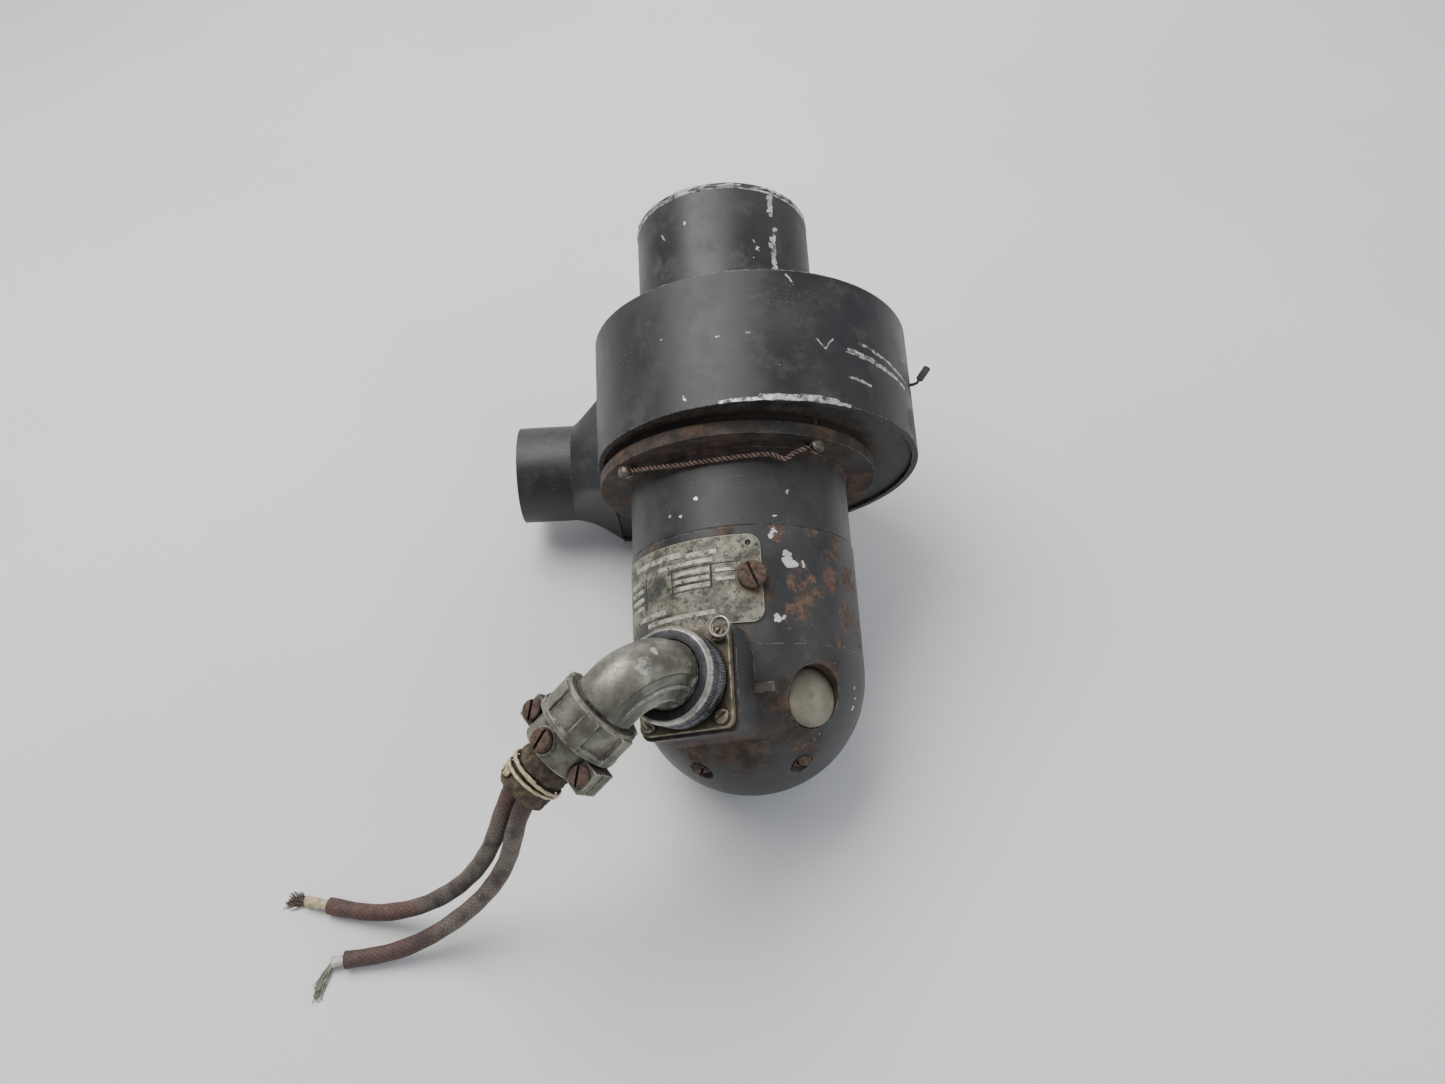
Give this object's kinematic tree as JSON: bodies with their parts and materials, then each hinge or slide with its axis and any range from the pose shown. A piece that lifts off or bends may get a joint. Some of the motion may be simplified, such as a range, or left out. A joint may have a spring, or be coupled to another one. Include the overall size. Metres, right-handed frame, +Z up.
{
  "type": "motor pump",
  "caption": "Motor-driven centrifugal boat pump with a spiral scroll, straight inlet spigot, side outlet spigot, domed motor end and a wired elbow connector.",
  "frame": {"origin": "middle of the pump's footprint, on the floor it lies on", "axes": "+Z up, +Y horizontal towards the inlet end along the motor axis, which is tilted 23.2 degrees upwards, +X to the right so that the outlet points to -X"},
  "size_m": [0.2277, 0.2551, 0.1373],
  "materials": {
    "black_paint": "worn matt black paint over aluminium",
    "gasket": "dark gasket and seal material",
    "bushing_rubber": "rough black rubber",
    "steel_screws": "dull plated steel",
    "rusty_screws": "rusted steel",
    "copper_wire": "tarnished copper lock wire",
    "steel": "ground steel",
    "plate": "etched aluminium plate, dirty",
    "electrical_steel": "laminated electrical steel",
    "magnet_wire": "varnished copper winding",
    "impeller_alloy": "cast aluminium",
    "insulator": "moulded phenolic",
    "copper": "turned copper",
    "brass": "brass",
    "carbon": "carbon graphite",
    "cap_plastic": "tan moulded plastic, matt",
    "connector_alloy": "dull plated die casting, worn",
    "ring_alloy": "dark knurled ring, worn on its lip",
    "lacing": "waxed lacing cord",
    "braid": "aged woven sleeve over insulation",
    "bare_end": "bared insulation and frayed strands"
  },
  "bodies": {
    "housing": {"backshell_nut": "connector_alloy", "bearing_outer_rings": "steel", "bearing_retainer": "steel", "box_lug": "black_paint", "brush_caps": "cap_plastic", "brush_holders": "insulator", "cable_bushing": "bushing_rubber", "cable_clamp_base": "connector_alloy", "cable_clamp_saddle": "connector_alloy", "clamp_screws": "rusty_screws", "contact_pins": "brass", "elbow_backshell": "connector_alloy", "end_bell": "black_paint", "end_bell_screws": "rusty_screws", "field_coils": "magnet_wire", "field_poles": "electrical_steel", "flange_gasket": "gasket", "flange_screws": "steel_screws", "front_housing": "black_paint", "inlet_cover": "black_paint", "lacing_tie": "lacing", "lock_wire": "copper_wire", "motor_frame": "black_paint", "nameplate": "plate", "outlet_duct": "black_paint", "plug_insert": "insulator", "plug_shell": "connector_alloy", "pole_screws": "rusty_screws", "preload_washer": "steel", "receptacle": "connector_alloy", "receptacle_gasket": "gasket", "receptacle_insert": "insulator", "receptacle_screws": "steel_screws", "safety_wires": "steel_screws", "scroll_back_plate": "black_paint", "scroll_band": "black_paint", "scroll_tab": "black_paint", "shaft_seal": "gasket", "wire_1": "braid", "wire_1_bare_end": "bare_end", "wire_2": "braid", "wire_2_bare_end": "bare_end", "brush_spring_1": "brass", "brush_spring_2": "brass"},
    "rotor": {"shaft": "steel", "armature_core": "electrical_steel", "armature_windings": "magnet_wire", "commutator_sleeve": "insulator", "commutator_bars": "copper", "bearing_inner_rings": "steel", "impeller": "impeller_alloy", "impeller_key": "steel", "impeller_washer": "steel", "impeller_nut": "steel"},
    "bearing_ball_sets": {"bearing_balls": "steel", "bearing_cages": "brass"},
    "brush_carbon_1": {"brush_1": "carbon"},
    "brush_carbon_2": {"brush_2": "carbon"},
    "ring": {"coupling_ring": "ring_alloy"}
  },
  "joints": [
    {"name": "rotor_spin", "type": "hinge", "parent": "housing", "child": "rotor", "pos_m": [0.00637, -0.01562, 0.05431], "axis": [0, 0.9191, 0.394], "continuous": true},
    {"name": "ball_set_spin", "type": "hinge", "parent": "housing", "child": "bearing_ball_sets", "pos_m": [0.00637, -0.01562, 0.05431], "axis": [0, 0.9191, 0.394], "continuous": true},
    {"name": "brush_1_travel", "type": "slide", "parent": "housing", "child": "brush_carbon_1", "axis": [0.515, -0.3378, 0.7878], "range_m": [0, 0.0018], "stiffness_N_per_m": 150, "springref_m": -0.004, "deforming": ["brush_spring_1"]},
    {"name": "brush_2_travel", "type": "slide", "parent": "housing", "child": "brush_carbon_2", "axis": [-0.515, 0.3378, -0.7878], "range_m": [0, 0.0018], "stiffness_N_per_m": 150, "springref_m": -0.004, "deforming": ["brush_spring_2"]},
    {"name": "coupling_ring_turn", "type": "hinge", "parent": "housing", "child": "ring", "pos_m": [0.00637, -0.06121, 0.03477], "axis": [-0.4242, -0.3568, 0.8323], "continuous": true}
  ],
  "couplings": [
    {"joint": "ball_set_spin", "follows": "rotor_spin", "ratio": 0.36667}
  ]
}
